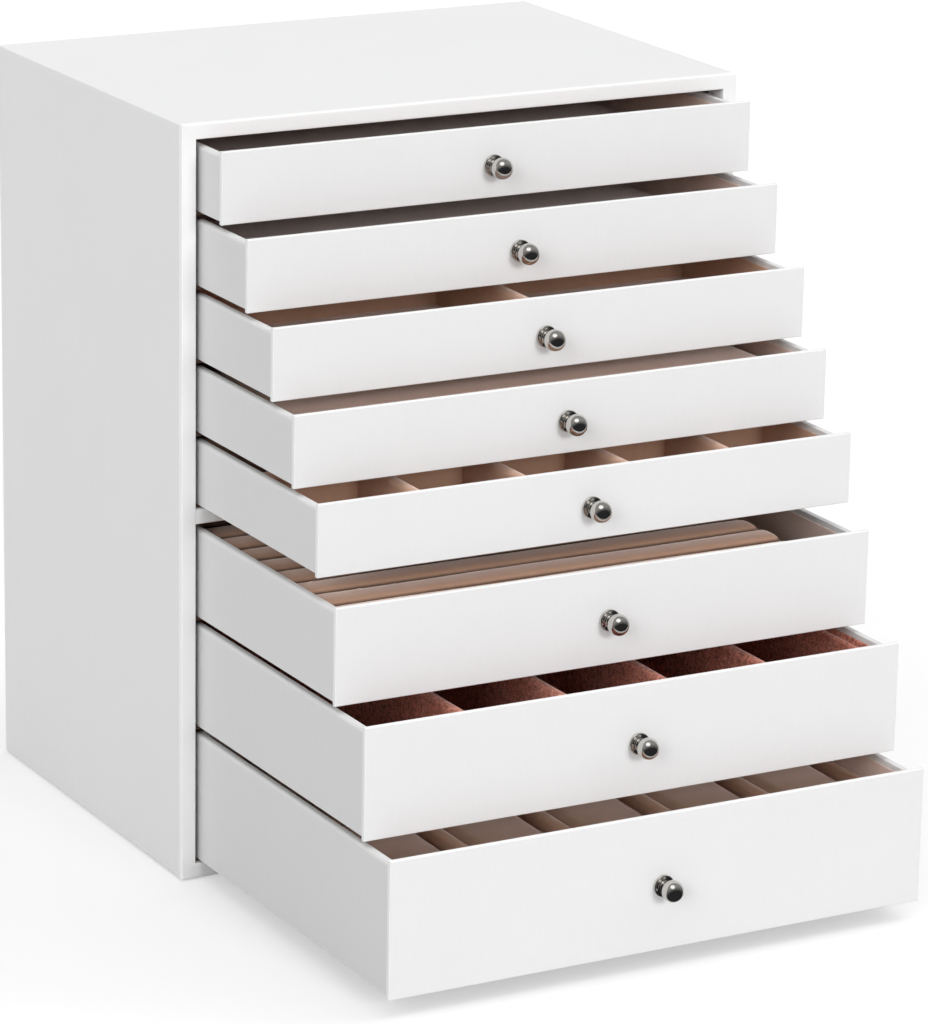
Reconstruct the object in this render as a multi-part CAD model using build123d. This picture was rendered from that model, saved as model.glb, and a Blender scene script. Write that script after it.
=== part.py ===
from build123d import *
import os

# Jewelry organizer: a case wrapped in white leatherette, with eight drawers drawn out in steps.
# Millimetres. X runs to the right, Y to the back, Z up. The origin is the middle of the underside.
# Every drawer is built where it stands in the rest pose, pulled out towards -Y.

# Case
case_width = 340.0
case_depth = 240.0
panel_thickness = 8.0
panel_edge_radius = 0.6
mitre_overrun = 1.0
opening_edge_radius = 0.6
base_sheet_thickness = 1.0
base_sheet_inset = 3.0
back_board_thickness = 3.0
back_board_recess = 1.0
middle_shelf_thickness = 8.0
middle_shelf_edge_radius = 0.6
thin_shelf_thickness = 2.4
thin_shelf_setback = 4.0
lining_board_thickness = 1.5
lining_board_setback = 16.0

# Drawers, counted from the top. The middle shelf lies under drawer 5.
front_heights = [39.0, 39.0, 39.0, 39.0, 39.0, 52.6, 61.0, 75.4]
upper_drawer_count = 5
length_left_inside = [205.3, 174.8, 145.0, 120.1, 92.8, 72.0, 38.6, 10.0]
front_gap = 1.2
front_side_gap = 0.7
front_thickness = 3.0
front_edge_radius = 0.5
front_back_edge_radius = 0.4
front_side_overhang = 2.0
front_bottom_overhang = 0.8
front_top_overhang = 3.0
box_wall_thickness = 4.5
box_shoulder_radius = 2.0
box_corner_radius = 3.0
box_inner_edge_radius = 0.6
box_bottom_thickness = 4.0
running_gap = 0.3
rear_gap = 1.0

# Velvet lining inside the boxes
lining_thickness = 1.0
floor_padding_thickness = 4.0
lining_below_front_top = 9.0

# Knob and its screw
knob_flange_radius = 6.0
knob_flange_thickness = 1.8
knob_flange_edge_radius = 0.7
knob_neck_radius = 3.1
knob_ball_radius = 5.9
knob_ball_standoff = 9.9
knob_below_middle = 1.8
knob_thread_radius = 2.0
knob_thread_depth = 8.0
screw_play = 0.05
screw_hole_play = 0.2
screw_head_radius = 4.0
screw_head_thickness = 2.0
screw_head_play = 0.3
screw_tip_play = 0.5
screw_slot_width = 0.9
screw_slot_depth = 0.8

# Dividers, rolls, cushion and pillows
divider_thickness = 7.0
divider_flat_top = 0.6
low_divider_below_front = 4.8
drawer_3_columns = 2
drawer_3_rows = 2
drawer_5_columns = 5
drawer_5_rows = 3
drawer_7_columns = 5
drawer_7_below_front = 8.5
drawer_8_columns = 5
drawer_8_rows = 2
drawer_8_below_front = 18.0
rim_thickness = 4.0
rim_flat_top = 0.4
roll_count = 10
roll_gap = 0.3
roll_below_front = 7.0
roll_height = 30.0
roll_side_compartment = 25.0
roll_flat_top = 0.86
cushion_below_front = 9.5
cushion_gap = 0.5
cushion_crown = 4.0
cushion_drawn_in = 1.5
cushion_shoulder_radius = 9.0
cushion_corner_radius = 6.0
pillow_below_divider = 2.6
pillow_gap = 1.2
pillow_crown = 1.5
pillow_drawn_in = 1.0
pillow_shoulder_radius = 4.0
pillow_corner_radius = 4.0


def block(x0, x1, y0, y1, z0, z1):
    """A box between two corners."""
    middle = Pos((x0 + x1) / 2, (y0 + y1) / 2, (z0 + z1) / 2)
    return middle * Box(x1 - x0, y1 - y0, z1 - z0)


def save(node, shapes):
    """Write one node: a single solid, or a group of separate solids."""
    body = shapes[0] if len(shapes) == 1 else Compound(children=shapes)
    export_step(body, f"parts/{node}.step")


def mitred_boards(ring, plane, half_width, half_height, board, length):
    """Cut a hollow ring into its top, bottom, left and right boards along 45 degree mitres."""
    reach = board + mitre_overrun
    wide, narrow = half_width + mitre_overrun, half_width - reach
    high, low = half_height + mitre_overrun, half_height - reach
    wedges = [
        [(-wide, high), (wide, high), (narrow, low), (-narrow, low)],
        [(-wide, -high), (wide, -high), (narrow, -low), (-narrow, -low)],
        [(-wide, -high), (-wide, high), (-narrow, low), (-narrow, -low)],
        [(wide, -high), (wide, high), (narrow, low), (narrow, -low)],
    ]
    boards = []
    for corners in wedges:
        face = plane * make_face(Polyline(*corners, close=True).edges())
        wedge = extrude(face, amount=length, both=True)
        boards.append((ring & wedge).solids()[0])
    return boards


# Places worked out from the sizes above
drawer_count = len(front_heights)
gap_count = drawer_count + 2
case_height = (sum(front_heights) + gap_count * front_gap
               + 2 * panel_thickness + middle_shelf_thickness)
case_bottom = base_sheet_thickness
case_top = case_bottom + case_height
front_plane = -case_depth / 2
inner_half_width = case_width / 2 - panel_thickness
inner_back = case_depth / 2 - back_board_recess - back_board_thickness
lined_half_width = inner_half_width - lining_board_thickness
drawer_length = inner_back - rear_gap - front_plane
front_half_width = inner_half_width - front_side_gap
box_half_width = front_half_width - front_side_overhang
cavity_half_width = box_half_width - box_wall_thickness
tray_half_width = cavity_half_width - lining_thickness


def front_tops():
    """Height of the top edge of each drawer front, and of the middle shelf's top."""
    tops = []
    level = case_top - panel_thickness
    shelf_top = 0.0
    for index, height in enumerate(front_heights):
        level -= front_gap
        tops.append(level)
        level -= height
        if index + 1 == upper_drawer_count:
            shelf_top = level - front_gap
            level = shelf_top - middle_shelf_thickness
    return tops, shelf_top


tops, middle_shelf_top = front_tops()


class Drawer:
    """The planes of one drawer in the rest pose."""

    def __init__(self, index):
        self.number = index + 1
        self.top = tops[index]
        self.bottom = self.top - front_heights[index]
        self.pull = drawer_length - length_left_inside[index]
        self.front = front_plane - self.pull
        self.back = self.front + drawer_length
        self.box_front = self.front + front_thickness
        self.box_top = self.top - front_top_overhang
        self.box_bottom = self.bottom + front_bottom_overhang
        self.cavity_front = self.box_front + box_wall_thickness
        self.cavity_back = self.back - box_wall_thickness
        self.floor = self.box_bottom + box_bottom_thickness
        self.tray_front = self.cavity_front + lining_thickness
        self.tray_back = self.cavity_back - lining_thickness
        self.tray_floor = self.floor + floor_padding_thickness
        self.lining_top = self.top - lining_below_front_top
        self.knob_height = (self.top + self.bottom) / 2 - knob_below_middle


drawers = [Drawer(index) for index in range(drawer_count)]


def case_panels():
    """The four outer panels, cut from one rounded ring so that their mitres meet."""
    middle = (case_bottom + case_top) / 2
    outer = Box(case_width, case_depth, case_height)
    outer = fillet(outer.edges(), panel_edge_radius)
    ring = outer - Box(2 * inner_half_width, 2 * case_depth, case_height - 2 * panel_thickness)
    front_face = ring.faces().sort_by(Axis.Y)[0]
    ring = fillet(front_face.inner_wires()[0].edges(), opening_edge_radius)
    boards = mitred_boards(ring, Plane.XZ, case_width / 2, case_height / 2,
                           panel_thickness, case_depth)
    names = ["cabinet_top", "cabinet_bottom", "cabinet_left_side", "cabinet_right_side"]
    for name, board in zip(names, boards):
        save(name, [Pos(0, 0, middle) * board])


def case_back():
    save("cabinet_back", [block(-inner_half_width, inner_half_width,
                                inner_back, inner_back + back_board_thickness,
                                case_bottom + panel_thickness, case_top - panel_thickness)])


def case_base_sheet():
    """Thin felt sheet under the case, the face that it rests on."""
    half_width = case_width / 2 - base_sheet_inset
    half_depth = case_depth / 2 - base_sheet_inset
    save("base_felt", [block(-half_width, half_width, -half_depth, half_depth, 0, case_bottom)])


def case_middle_shelf():
    shelf = block(-inner_half_width, inner_half_width, front_plane, inner_back,
                  middle_shelf_top - middle_shelf_thickness, middle_shelf_top)
    front_edges = shelf.faces().sort_by(Axis.Y)[0].edges().filter_by(Axis.X)
    save("middle_shelf", [fillet(front_edges, middle_shelf_edge_radius)])


def thin_shelf_top(drawer):
    return drawer.box_bottom - running_gap


def lies_on_thin_shelf(drawer):
    return drawer.number not in (upper_drawer_count, drawer_count)


def case_thin_shelves():
    """Hardboard shelves behind the fronts, one under each drawer with no thick panel below it."""
    shelves = []
    for drawer in drawers:
        if lies_on_thin_shelf(drawer):
            top = thin_shelf_top(drawer)
            shelves.append(block(-lined_half_width, lined_half_width,
                                 front_plane + thin_shelf_setback, inner_back,
                                 top - thin_shelf_thickness, top))
    save("thin_shelves", shelves)


def bays():
    """Bottom and top of the space above and below the middle shelf."""
    upper = (middle_shelf_top, case_top - panel_thickness)
    lower = (case_bottom + panel_thickness, middle_shelf_top - middle_shelf_thickness)
    return [upper, lower]


def case_lining():
    """Brown boards on both sides and under the ceiling of each bay."""
    start = front_plane + lining_board_setback
    boards = []
    for bottom, top in bays():
        for side in (-1, 1):
            inner, outer = sorted((side * lined_half_width, side * inner_half_width))
            boards.append(block(inner, outer, start, inner_back, bottom, top))
        boards.append(block(-lined_half_width, lined_half_width, start, inner_back,
                            top - lining_board_thickness, top))
    save("cabinet_lining", boards)


def case_glide_boards():
    """Boards on the middle shelf and on the bottom panel, for the drawers above them."""
    start = front_plane + thin_shelf_setback
    levels = {upper_drawer_count: middle_shelf_top,
              drawer_count: case_bottom + panel_thickness}
    boards = []
    for number, seat in levels.items():
        boards.append(block(-lined_half_width, lined_half_width, start, inner_back,
                            seat, thin_shelf_top(drawers[number - 1])))
    save("glide_boards", boards)


def screw_hole(drawer):
    """Through hole for the knob's screw, with a counterbore inside that hides its head."""
    y_length = front_thickness + box_wall_thickness
    shaft = Cylinder(knob_thread_radius + screw_hole_play, y_length, rotation=(90, 0, 0))
    shaft = Pos(0, drawer.front + y_length / 2, drawer.knob_height) * shaft
    depth = screw_head_thickness
    bore = Cylinder(screw_head_radius + screw_head_play, depth, rotation=(90, 0, 0))
    bore = Pos(0, drawer.cavity_front - depth / 2, drawer.knob_height) * bore
    return shaft + bore


def drawer_front(drawer):
    board = block(-front_half_width, front_half_width, drawer.front, drawer.box_front,
                  drawer.bottom, drawer.top)
    board = fillet(board.faces().sort_by(Axis.Y)[0].edges(), front_edge_radius)
    board = fillet(board.faces().sort_by(Axis.Y)[-1].edges(), front_back_edge_radius)
    save(f"drawer_{drawer.number}_front", [board - screw_hole(drawer)])


def drawer_box(drawer):
    """Four mitred walls with rounded shoulders, and a bottom held between them."""
    length = drawer.back - drawer.box_front
    height = drawer.box_top - drawer.box_bottom
    outer = Box(2 * box_half_width, length, height)
    rear_corners = outer.edges().filter_by(Axis.Z).sort_by(Axis.Y)[2:]
    outer = fillet(rear_corners, box_corner_radius)
    rim = outer.faces().sort_by(Axis.Z)[-1].edges().sort_by(Axis.Y)[1:]
    outer = fillet(rim, box_shoulder_radius)
    cavity = Box(2 * cavity_half_width, length - 2 * box_wall_thickness, 2 * height)
    ring = outer - cavity
    inner_rim = ring.faces().sort_by(Axis.Z)[-1].inner_wires()[0].edges()
    ring = fillet(inner_rim, box_inner_edge_radius)
    walls = mitred_boards(ring, Plane.XY, box_half_width, length / 2, box_wall_thickness, height)
    place = Pos(0, (drawer.box_front + drawer.back) / 2, (drawer.box_bottom + drawer.box_top) / 2)
    back_wall, front_wall, left_wall, right_wall = [place * wall for wall in walls]
    front_wall = front_wall - screw_hole(drawer)
    bottom = block(-cavity_half_width, cavity_half_width, drawer.cavity_front,
                   drawer.cavity_back, drawer.box_bottom, drawer.floor)
    save(f"drawer_{drawer.number}_box", [front_wall, back_wall, left_wall, right_wall, bottom])


def drawer_lining(drawer):
    """A padded velvet floor, and velvet on the four walls up to a line below their tops."""
    z0, z1 = drawer.tray_floor, drawer.lining_top
    outer, inner = cavity_half_width, tray_half_width
    front, back = drawer.cavity_front, drawer.cavity_back
    sheets = [
        block(-outer, outer, front, back, drawer.floor, z0),
        block(-outer, -inner, front, back, z0, z1),
        block(inner, outer, front, back, z0, z1),
        block(-inner, inner, front, drawer.tray_front, z0, z1),
        block(-inner, inner, drawer.tray_back, back, z0, z1),
    ]
    save(f"drawer_{drawer.number}_lining", sheets)


def knob_profile():
    """Half section of the knob: x is the radius and y the distance out of the front."""
    flange, neck, ball = knob_flange_radius, knob_neck_radius, knob_ball_radius
    lip = knob_flange_edge_radius
    tip = knob_ball_standoff + ball
    waist = knob_ball_standoff - (ball ** 2 - neck ** 2) ** 0.5
    edge_top = knob_flange_thickness
    inward = lip * (1 - 0.5 ** 0.5)
    middle_of_lip = (flange - inward, edge_top - inward)
    return [
        Polyline((0, 0), (flange, 0), (flange, edge_top - lip)),
        ThreePointArc((flange, edge_top - lip), middle_of_lip, (flange - lip, edge_top)),
        Polyline((flange - lip, edge_top), (neck, edge_top), (neck, waist)),
        ThreePointArc((neck, waist), (ball, knob_ball_standoff), (0, tip)),
        Line((0, tip), (0, 0)),
    ]


def drawer_knob(drawer):
    """Turned knob with a threaded blind hole in its foot."""
    turned = revolve(make_face(knob_profile()), Axis.Y)
    hole = Pos(0, knob_thread_depth / 2, 0) * Cylinder(knob_thread_radius, knob_thread_depth,
                                                      rotation=(90, 0, 0))
    turned = Rot(0, 0, 180) * (turned - hole)
    save(f"drawer_{drawer.number}_knob", [Pos(0, drawer.front, drawer.knob_height) * turned])


def drawer_screw(drawer):
    """Slotted screw from inside the box, its head flush with the inner face of the wall."""
    head_start = drawer.cavity_front - screw_head_thickness
    tip = drawer.front - knob_thread_depth + screw_tip_play
    length = head_start - tip
    shaft = Cylinder(knob_thread_radius - screw_play, length, rotation=(90, 0, 0))
    shaft = Pos(0, tip + length / 2, drawer.knob_height) * shaft
    head = Cylinder(screw_head_radius, screw_head_thickness, rotation=(90, 0, 0))
    head = Pos(0, head_start + screw_head_thickness / 2, drawer.knob_height) * head
    slot = block(-screw_head_radius, screw_head_radius, drawer.cavity_front - screw_slot_depth,
                 drawer.cavity_front, drawer.knob_height - screw_slot_width / 2,
                 drawer.knob_height + screw_slot_width / 2)
    save(f"drawer_{drawer.number}_screw", [shaft + head - slot])


def divider(x0, x1, y0, y1, z0, z1, run, flat_top):
    """A padded board that runs along one axis, rounded up to the narrow flat of its top."""
    board = block(x0, x1, y0, y1, z0, z1)
    thickness = x1 - x0 if run == Axis.Y else y1 - y0
    top_edges = board.faces().sort_by(Axis.Z)[-1].edges().filter_by(run)
    return fillet(top_edges, (thickness - flat_top) / 2)


def columns(drawer, count, rows, z1, edge):
    """Full-length dividers between the columns, with cross pieces between them for the rows."""
    half = tray_half_width - edge
    front, back = drawer.tray_front + edge, drawer.tray_back - edge
    width = (2 * half - (count - 1) * divider_thickness) / count
    depth = (back - front - (rows - 1) * divider_thickness) / rows
    pieces = []
    for column in range(count):
        x0 = -half + column * (width + divider_thickness)
        if column:
            pieces.append(divider(x0 - divider_thickness, x0, front, back, drawer.tray_floor, z1,
                                  Axis.Y, divider_flat_top))
        for row in range(1, rows):
            y0 = front + row * (depth + divider_thickness) - divider_thickness
            pieces.append(divider(x0, x0 + width, y0, y0 + divider_thickness, drawer.tray_floor,
                                  z1, Axis.X, divider_flat_top))
    return pieces


def rim(drawer, z1):
    """Four padded boards that stand against the lining, all round the tray."""
    half, front, back = tray_half_width, drawer.tray_front, drawer.tray_back
    inner = half - rim_thickness
    z0 = drawer.tray_floor
    return [
        divider(-half, -inner, front, back, z0, z1, Axis.Y, rim_flat_top),
        divider(inner, half, front, back, z0, z1, Axis.Y, rim_flat_top),
        divider(-inner, inner, front, front + rim_thickness, z0, z1, Axis.X, rim_flat_top),
        divider(-inner, inner, back - rim_thickness, back, z0, z1, Axis.X, rim_flat_top),
    ]


def ring_rolls(drawer):
    """Foam rolls with a rounded top, side by side, on a foam base."""
    left = -tray_half_width
    right = tray_half_width - roll_side_compartment
    top = drawer.top - roll_below_front
    seat = top - roll_height
    pitch = (drawer.tray_back - drawer.tray_front) / roll_count
    width = pitch - roll_gap
    rolls = []
    for index in range(roll_count):
        y0 = drawer.tray_front + index * pitch + roll_gap / 2
        rolls.append(divider(left, right, y0, y0 + width, seat, top, Axis.X, roll_flat_top))
    save(f"drawer_{drawer.number}_ring_rolls", rolls)
    save(f"drawer_{drawer.number}_roll_base", [block(left, right, drawer.tray_front,
                                                     drawer.tray_back, drawer.tray_floor, seat)])


def crowned_slab(width, height, crown, shoulder):
    """A long bar along Y with straight sides, a gently arched top and rounded shoulders."""
    half, side = width / 2, height - crown
    outline = [
        Polyline((-half, side), (-half, 0), (half, 0), (half, side)),
        ThreePointArc((half, side), (0, height), (-half, side)),
    ]
    bar = extrude(Plane.XZ * make_face(outline), amount=drawer_length, both=True)
    top_corners = bar.edges().filter_by(Axis.Y).sort_by(Axis.Z)[-2:]
    return fillet(top_corners, shoulder)


def drawn_in_outline(half_width, half_depth, inward):
    """Plan of a cushion whose sides pull in between its corners."""
    a, b = half_width, half_depth
    return [
        ThreePointArc((-a, -b), (0, -b + inward), (a, -b)),
        ThreePointArc((a, -b), (a - inward, 0), (a, b)),
        ThreePointArc((a, b), (0, b - inward), (-a, b)),
        ThreePointArc((-a, b), (-a + inward, 0), (-a, -b)),
    ]


def cushion(width, depth, height, crown, shoulder, inward, corner):
    """A cushion crowned both ways, with drawn-in sides, round shoulders and round corners."""
    plan = extrude(make_face(drawn_in_outline(width / 2, depth / 2, inward)), amount=height)
    plan = fillet(plan.edges().filter_by(Axis.Z), corner)
    across = crowned_slab(width, height, crown, shoulder)
    along = Rot(0, 0, 90) * crowned_slab(depth, height, crown, shoulder)
    return (plan & across & along).solids()[0]


def tray_cushion(drawer):
    """One wide cushion that fills the tray."""
    width = 2 * (tray_half_width - cushion_gap)
    depth = drawer.tray_back - drawer.tray_front - 2 * cushion_gap
    height = drawer.top - cushion_below_front - drawer.tray_floor
    shape = cushion(width, depth, height, cushion_crown, cushion_shoulder_radius,
                    cushion_drawn_in, cushion_corner_radius)
    middle = (drawer.tray_front + drawer.tray_back) / 2
    save(f"drawer_{drawer.number}_cushion", [Pos(0, middle, drawer.tray_floor) * shape])


def watch_pillows(drawer, divider_top):
    """One pillow in every compartment, with a gap all round it."""
    half = tray_half_width - rim_thickness
    front, back = drawer.tray_front + rim_thickness, drawer.tray_back - rim_thickness
    count, rows = drawer_8_columns, drawer_8_rows
    width = (2 * half - (count - 1) * divider_thickness) / count
    depth = (back - front - (rows - 1) * divider_thickness) / rows
    height = divider_top - pillow_below_divider - drawer.tray_floor
    shape = cushion(width - 2 * pillow_gap, depth - 2 * pillow_gap, height, pillow_crown,
                    pillow_shoulder_radius, pillow_drawn_in, pillow_corner_radius)
    pillows = []
    for column in range(count):
        for row in range(rows):
            x = -half + column * (width + divider_thickness) + width / 2
            y = front + row * (depth + divider_thickness) + depth / 2
            pillows.append(Pos(x, y, drawer.tray_floor) * shape)
    save(f"drawer_{drawer.number}_pillows", pillows)


def inserts():
    """What each drawer holds inside its lining."""
    third, fourth, fifth, sixth, seventh, eighth = drawers[2:]
    save("drawer_3_dividers", columns(third, drawer_3_columns, drawer_3_rows,
                                      third.top - low_divider_below_front, 0.0))
    tray_cushion(fourth)
    save("drawer_5_dividers", columns(fifth, drawer_5_columns, drawer_5_rows,
                                      fifth.top - low_divider_below_front, 0.0))
    ring_rolls(sixth)
    top = seventh.top - drawer_7_below_front
    save("drawer_7_dividers",
         rim(seventh, top) + columns(seventh, drawer_7_columns, 1, top, rim_thickness))
    top = eighth.top - drawer_8_below_front
    save("drawer_8_dividers",
         rim(eighth, top) + columns(eighth, drawer_8_columns, drawer_8_rows, top, rim_thickness))
    watch_pillows(eighth, top)


os.makedirs("parts", exist_ok=True)
case_panels()
case_back()
case_base_sheet()
case_middle_shelf()
case_thin_shelves()
case_lining()
case_glide_boards()
for drawer in drawers:
    drawer_front(drawer)
    drawer_box(drawer)
    drawer_lining(drawer)
    drawer_knob(drawer)
    drawer_screw(drawer)
inserts()
print("case", case_width, case_depth, case_top, "drawer length", drawer_length)
for drawer in drawers:
    print("drawer", drawer.number, "top", round(drawer.top, 2), "pulled out", round(drawer.pull, 2))
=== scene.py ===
import bpy
import bmesh
import math
import numpy as np
from mathutils import Matrix, Vector


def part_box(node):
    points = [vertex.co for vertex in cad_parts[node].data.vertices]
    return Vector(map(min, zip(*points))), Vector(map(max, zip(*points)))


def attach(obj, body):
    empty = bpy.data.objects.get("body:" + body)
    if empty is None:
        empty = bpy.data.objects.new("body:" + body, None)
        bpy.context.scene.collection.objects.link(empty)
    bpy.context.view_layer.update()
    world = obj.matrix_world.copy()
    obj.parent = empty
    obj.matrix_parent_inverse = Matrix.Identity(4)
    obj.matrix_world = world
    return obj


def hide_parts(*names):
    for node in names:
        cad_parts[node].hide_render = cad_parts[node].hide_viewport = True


# A jewelry case wrapped in white leatherette with eight drawers drawn out in steps.
# Metres. X runs to the right, Y to the back, Z up; the drawers slide out along -Y.
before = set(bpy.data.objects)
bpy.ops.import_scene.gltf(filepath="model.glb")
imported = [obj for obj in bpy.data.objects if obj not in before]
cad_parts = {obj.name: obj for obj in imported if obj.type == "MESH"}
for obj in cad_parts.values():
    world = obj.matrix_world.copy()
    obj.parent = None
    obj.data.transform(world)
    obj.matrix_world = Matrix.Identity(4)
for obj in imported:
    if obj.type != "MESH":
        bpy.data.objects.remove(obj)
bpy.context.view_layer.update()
drawerCount = 8
mm = 0.001
print("frame loaded,", len(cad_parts), "nodes")

# Camera: a long lens from the front left, a little above the case
cameraView = {
    "place": (-1.2471, -2.3771, 0.9495),
    "azimuth": -28.9638,
    "elevation": 16.43,
    "roll": 0.9863,
    "focalPixels": 4871.98,
    "frameHeightPixels": 1024,
    "sensor": 36.0,
}


def makeCamera():
    az, el, roll = (math.radians(cameraView[key]) for key in ("azimuth", "elevation", "roll"))
    back = Vector((math.sin(az) * math.cos(el), -math.cos(az) * math.cos(el), math.sin(el)))
    right = Vector((0, 0, 1)).cross(back).normalized()
    up = back.cross(right)
    tiltedRight = right * math.cos(roll) + up * math.sin(roll)
    tiltedUp = up * math.cos(roll) - right * math.sin(roll)
    data = bpy.data.cameras.new("camera")
    data.sensor_width = cameraView["sensor"]
    data.lens = cameraView["focalPixels"] * cameraView["sensor"] / cameraView["frameHeightPixels"]
    data.clip_end = 50
    camera = bpy.data.objects.new("camera", data)
    turn = Matrix((tiltedRight, tiltedUp, back)).transposed()
    camera.matrix_world = Matrix.Translation(cameraView["place"]) @ turn.to_4x4()
    bpy.context.scene.collection.objects.link(camera)
    bpy.context.scene.camera = camera


makeCamera()
bpy.context.scene.view_settings.view_transform = "Standard"
print("camera set")


# Node trees: one call places a node, links what is a socket and writes what is a value
def fillInput(tree, node, key, value):
    if isinstance(value, bpy.types.NodeSocket):
        tree.links.new(value, node.inputs[key])
    else:
        node.inputs[key].default_value = value


def addNode(tree, kind, inputs=None, **settings):
    node = tree.nodes.new(kind)
    for key, value in settings.items():
        setattr(node, key, value)
    for key, value in (inputs or {}).items():
        fillInput(tree, node, key, value)
    return node


def startGroup(name, inputs, outputs):
    tree = bpy.data.node_groups.new(name, "ShaderNodeTree")
    kinds = {"vector": "NodeSocketVector", "color": "NodeSocketColor", "value": "NodeSocketFloat"}
    for label, kind in inputs:
        tree.interface.new_socket(label, in_out="INPUT", socket_type=kinds[kind])
    for label, kind in outputs:
        tree.interface.new_socket(label, in_out="OUTPUT", socket_type=kinds[kind])
    return tree, tree.nodes.new("NodeGroupInput").outputs, tree.nodes.new("NodeGroupOutput").inputs


def stretched(tree, vector, scale):
    return addNode(tree, "ShaderNodeVectorMath", {0: vector, 1: scale}, operation="MULTIPLY").outputs[0]


def noise(tree, vector, scale, detail=2.0, roughness=0.5):
    return addNode(tree, "ShaderNodeTexNoise", {"Vector": vector, "Scale": scale, "Detail": detail,
                                                "Roughness": roughness}).outputs["Fac"]


def mapped(tree, value, fromLow, fromHigh, toLow, toHigh):
    return addNode(tree, "ShaderNodeMapRange", {"Value": value, "From Min": fromLow, "From Max": fromHigh,
                                                "To Min": toLow, "To Max": toHigh}).outputs[0]


def summed(tree, a, b, operation="ADD"):
    return addNode(tree, "ShaderNodeMath", {0: a, 1: b}, operation=operation).outputs[0]


def mixColors(tree, share, a, b, blend="MIX"):
    node = tree.nodes.new("ShaderNodeMix")
    node.data_type = "RGBA"
    node.blend_type = blend
    for index, value in ((0, share), (6, a), (7, b)):
        fillInput(tree, node, index, value)
    return node.outputs[2]


def swing(tree, value, amount):
    # how far the value lies from a half, times the amount
    return summed(tree, summed(tree, value, 0.5, "SUBTRACT"), amount, "MULTIPLY")


def toned(tree, color, brightness):
    node = addNode(tree, "ShaderNodeVectorMath", {0: color, "Scale": brightness}, operation="SCALE")
    return node.outputs[0]


# Fine upright fibres pressed into the leatherette: noise drawn out along Z, in two sizes, and soft
# clouds that change the tone a little
grainPattern = {
    "fine": (2600, 2600, 130),
    "coarse": (900, 900, 60),
    "coarseWeight": 1.3,
    "clouds": 14.0,
    "streaks": (0.7, 1.6),
    "roughness": (0.56, 0.40),
}


def makeGrainGroup():
    look = grainPattern
    tree, given, out = startGroup("grain", [("Vector", "vector"), ("Color", "color"),
                                            ("Fibres", "value"), ("Clouds", "value")],
                                  [("Color", "color"), ("Roughness", "value"), ("Height", "value")])
    fine = noise(tree, stretched(tree, given["Vector"], look["fine"]), 1.0, 2.0, 0.6)
    coarse = noise(tree, stretched(tree, given["Vector"], look["coarse"]), 1.0, 3.0, 0.65)
    clouds = noise(tree, given["Vector"], look["clouds"], 3.0, 0.55)
    streaks = summed(tree, fine, summed(tree, coarse, look["coarseWeight"], "MULTIPLY"))
    height = mapped(tree, streaks, *look["streaks"], 0.0, 1.0)
    shade = summed(tree, swing(tree, height, given["Fibres"]), swing(tree, clouds, given["Clouds"]))
    tree.links.new(toned(tree, given["Color"], summed(tree, shade, 1.0)), out["Color"])
    tree.links.new(mapped(tree, height, 0, 1, *look["roughness"]), out["Roughness"])
    tree.links.new(height, out["Height"])
    return tree


# Pile of short velvet: fine specks of single tufts, and wide soft patches where the nap lies over
pilePattern = {
    "tuftShare": 0.6,
    "clumps": 420.0,
    "patchStretch": (1.0, 1.6, 1.0),
    "patches": 38.0,
    "napRange": (0.36, 0.64),
    "darkest": 0.12,
    "speckRange": (0.3, 0.7),
    "roughness": (0.95, 0.80),
}


def makePileGroup():
    look = pilePattern
    tree, given, out = startGroup("pile", [("Vector", "vector"), ("Color", "color"), ("Nap Color", "color"),
                                           ("Specks", "value"), ("Patches", "value"), ("Tufts", "value")],
                                  [("Color", "color"), ("Roughness", "value"), ("Height", "value")])
    tufts = noise(tree, given["Vector"], given["Tufts"], 2.0, 0.7)
    clumps = noise(tree, given["Vector"], look["clumps"], 3.0, 0.6)
    patches = noise(tree, stretched(tree, given["Vector"], look["patchStretch"]), look["patches"], 3.0, 0.6)
    specks = summed(tree, summed(tree, tufts, look["tuftShare"], "MULTIPLY"),
                    summed(tree, clumps, 1 - look["tuftShare"], "MULTIPLY"))
    nap = mapped(tree, patches, *look["napRange"], 0.0, 1.0)
    napShare = summed(tree, nap, given["Patches"], "MULTIPLY")
    color = mixColors(tree, napShare, given["Color"], given["Nap Color"])
    bright = summed(tree, swing(tree, specks, given["Specks"]), 1.0)
    tree.links.new(toned(tree, color, summed(tree, bright, look["darkest"], "MAXIMUM")), out["Color"])
    tree.links.new(mapped(tree, specks, *look["speckRange"], *look["roughness"]), out["Roughness"])
    tree.links.new(specks, out["Height"])
    return tree


# Hairlines of handling on metal: thin noise drawn out along one axis, and wider smears
hairlinePattern = {"lines": (3000, 400, 3000), "smears": 260.0, "lineShare": 0.5, "spread": (0.35, 0.65)}


def makeHairlineGroup():
    look = hairlinePattern
    tree, given, out = startGroup("hairlines", [("Vector", "vector"), ("Low", "value"), ("High", "value")],
                                  [("Roughness", "value"), ("Height", "value")])
    lines = noise(tree, stretched(tree, given["Vector"], look["lines"]), 1.0, 2.0, 0.6)
    smears = noise(tree, given["Vector"], look["smears"], 2.0, 0.5)
    both = summed(tree, summed(tree, lines, look["lineShare"], "MULTIPLY"),
                  summed(tree, smears, 1 - look["lineShare"], "MULTIPLY"))
    tree.links.new(mapped(tree, both, *look["spread"], given["Low"], given["High"]), out["Roughness"])
    tree.links.new(lines, out["Height"])
    return tree


grainGroup = makeGrainGroup()
pileGroup = makePileGroup()
hairlineGroup = makeHairlineGroup()


def startMaterial(name, slot, settings):
    material = bpy.data.materials.new(name)
    material.use_nodes = True
    tree = material.node_tree
    shader = tree.nodes["Principled BSDF"]
    for key, value in settings.items():
        shader.inputs[key].default_value = value
    material["finish"] = slot
    place = addNode(tree, "ShaderNodeTexCoord").outputs["Object"]
    return material, tree, shader, place


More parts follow.
